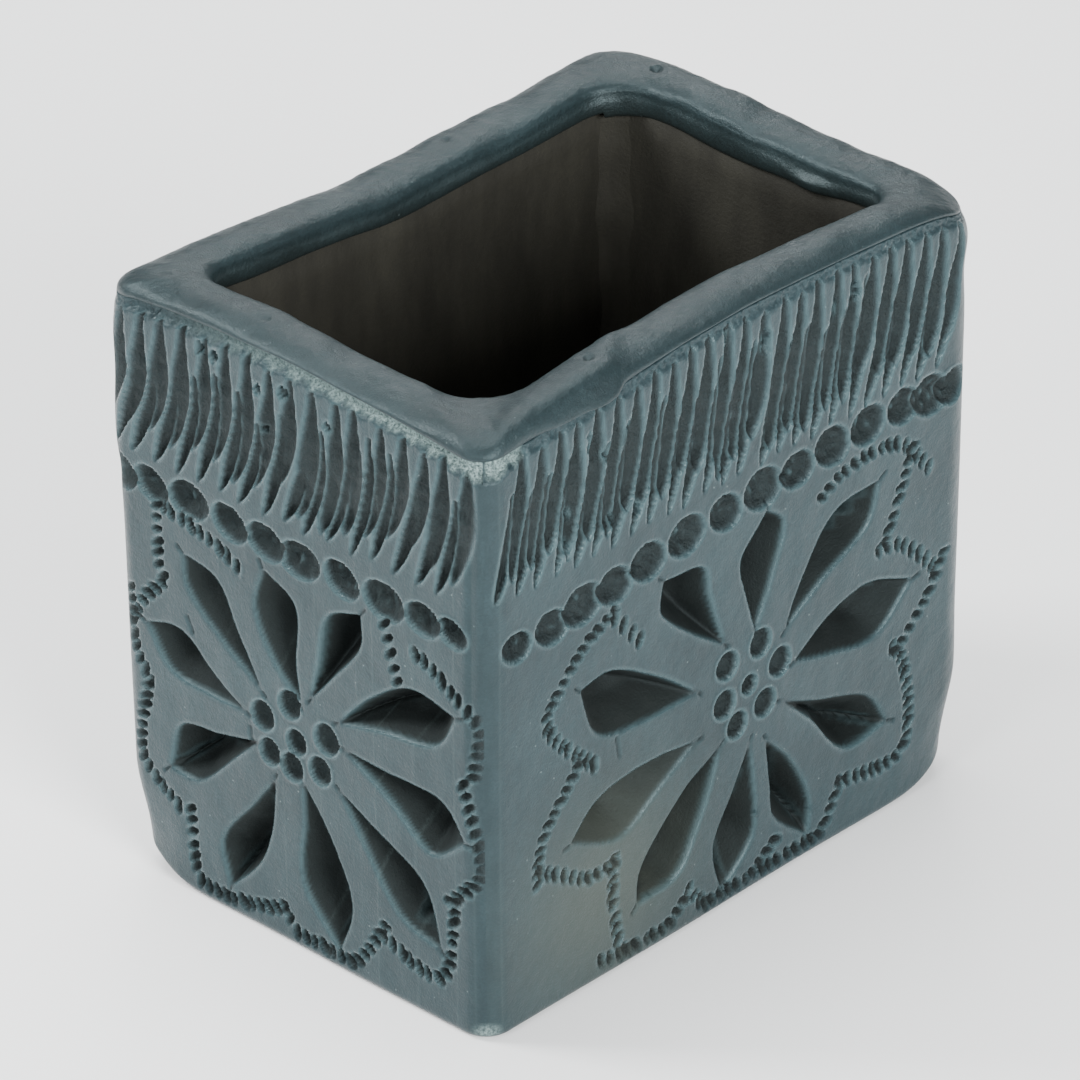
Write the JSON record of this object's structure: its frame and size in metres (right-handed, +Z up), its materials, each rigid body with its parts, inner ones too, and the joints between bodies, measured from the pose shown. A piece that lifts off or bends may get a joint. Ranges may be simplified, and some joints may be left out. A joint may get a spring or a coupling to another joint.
{
  "type": "carved clay desk pot",
  "caption": "Rectangular slab-built black clay pot, open at the top, with a thick rim, gouged fringe, pressed dimples and deep-cut flowers on its sides; holds pens or small things.",
  "frame": {"origin": "middle of the underside, on the plane the pot stands on", "axes": "+X along the long faces, to the right seen from the front; +Y from the front face to the back face; +Z up through the open mouth"},
  "size_m": [0.1, 0.0726, 0.0936],
  "materials": {
    "wall_clay": "burnished black clay, satin, with matte cuts",
    "rim_clay": "burnished black clay, satin",
    "inner_clay": "unburnished black clay, matte"
  },
  "bodies": {
    "root": {"front_wall": "wall_clay", "back_wall": "wall_clay", "left_wall": "wall_clay", "right_wall": "wall_clay", "floor_slab": "inner_clay", "rim": "rim_clay", "floor_coil": "inner_clay", "coil_front_left": "inner_clay", "coil_front_right": "inner_clay", "coil_back_left": "inner_clay", "coil_back_right": "inner_clay"}
  },
  "joints": []
}
